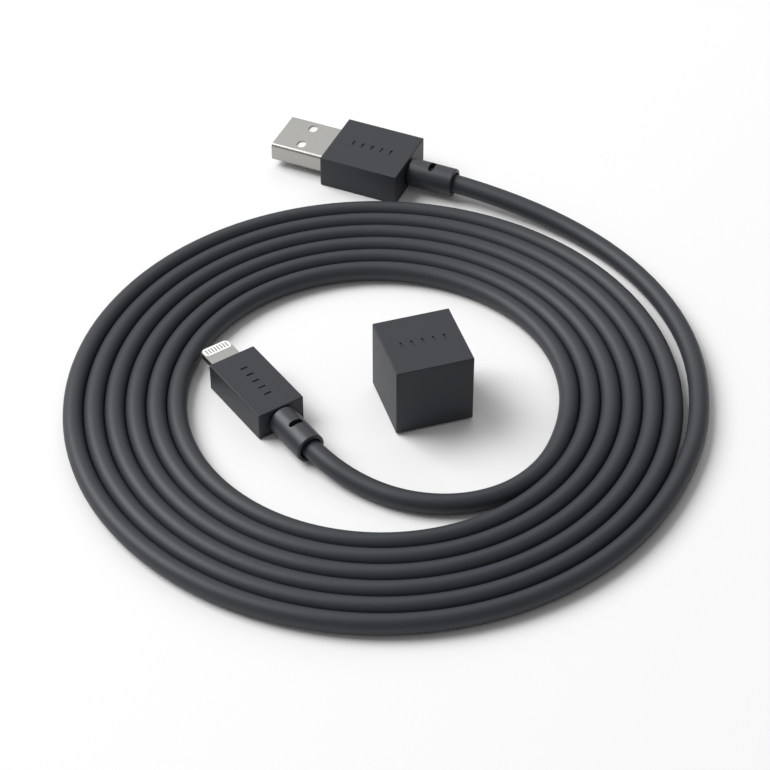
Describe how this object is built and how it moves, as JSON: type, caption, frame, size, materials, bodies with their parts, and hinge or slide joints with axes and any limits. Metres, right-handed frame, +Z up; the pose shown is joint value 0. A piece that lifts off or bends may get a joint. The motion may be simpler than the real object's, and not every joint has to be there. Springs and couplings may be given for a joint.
{
  "type": "charging cable",
  "caption": "Coiled round charcoal phone charging cable with a USB-A plug, a reversible phone tab plug, slotted strain reliefs and a small magnetic base cube.",
  "frame": {"origin": "on the table under the middle of the whole object's box", "axes": "+Z up from the table; +Y from the phone plug's side of the coil towards the USB plug; +X to the right, towards the side where the lead joins the coil"},
  "size_m": [0.1329, 0.1582, 0.0165],
  "materials": {
    "cable_jacket": "matt soft-touch charcoal elastomer",
    "charcoal_housing": "fine matt charcoal moulding",
    "sleeve_rubber": "matt charcoal elastomer",
    "plug_steel": "satin nickel-plated stamped steel",
    "tab_metal": "satin nickel-plated steel",
    "white_insulator": "white glass-filled moulding",
    "contact_plate_white": "smooth white moulding",
    "contact_metal": "plated contact strip",
    "wire_insulation": "coloured wire insulation",
    "inner_mould": "milky polyethylene",
    "shield_steel": "tinned thin sheet",
    "ferrule_brass": "plain crimped brass",
    "board_green": "solder mask",
    "chip_black": "moulded package",
    "capacitor_tan": "ceramic body",
    "magnet_nickel": "nickel-plated magnet",
    "weight_steel": "plain steel slug",
    "screw_steel": "zinc-plated",
    "pad_rubber": "matt silicone"
  },
  "bodies": {
    "root": {"cable_coil": "cable_jacket", "cable_lead": "cable_jacket", "cable_tail": "cable_jacket", "phone_braid_end": "cable_jacket", "phone_capacitors": "capacitor_tan", "phone_chips": "chip_black", "phone_circuit_board": "board_green", "phone_contact_plate": "contact_plate_white", "phone_contacts_lower": "contact_metal", "phone_contacts_upper": "contact_metal", "phone_ferrule": "ferrule_brass", "phone_front_cover": "charcoal_housing", "phone_housing": "charcoal_housing", "phone_inner_mould": "inner_mould", "phone_keeper_plate": "shield_steel", "phone_shield_lower": "shield_steel", "phone_shield_upper": "shield_steel", "phone_strain_relief": "sleeve_rubber", "phone_tab_frame": "tab_metal", "phone_tab_seat": "inner_mould", "phone_wires": "wire_insulation", "usb_braid_end": "cable_jacket", "usb_contacts": "contact_metal", "usb_ferrule": "ferrule_brass", "usb_front_cover": "charcoal_housing", "usb_housing": "charcoal_housing", "usb_inner_mould": "inner_mould", "usb_keeper_plate": "shield_steel", "usb_shell": "plug_steel", "usb_shield_lower": "shield_steel", "usb_shield_upper": "shield_steel", "usb_strain_relief": "sleeve_rubber", "usb_tongue": "white_insulator", "usb_wires": "wire_insulation"},
    "base_cube": {"base_floor": "charcoal_housing", "base_magnet": "magnet_nickel", "base_magnet_cup": "shield_steel", "base_pad": "pad_rubber", "base_screws": "screw_steel", "base_shell": "charcoal_housing", "base_spacer": "inner_mould", "base_weight": "weight_steel"}
  },
  "joints": [
    {"name": "base_lift_off", "type": "slide", "parent": "root", "child": "base_cube", "axis": [0, 0, 1], "range_m": [0, 0.06]}
  ]
}
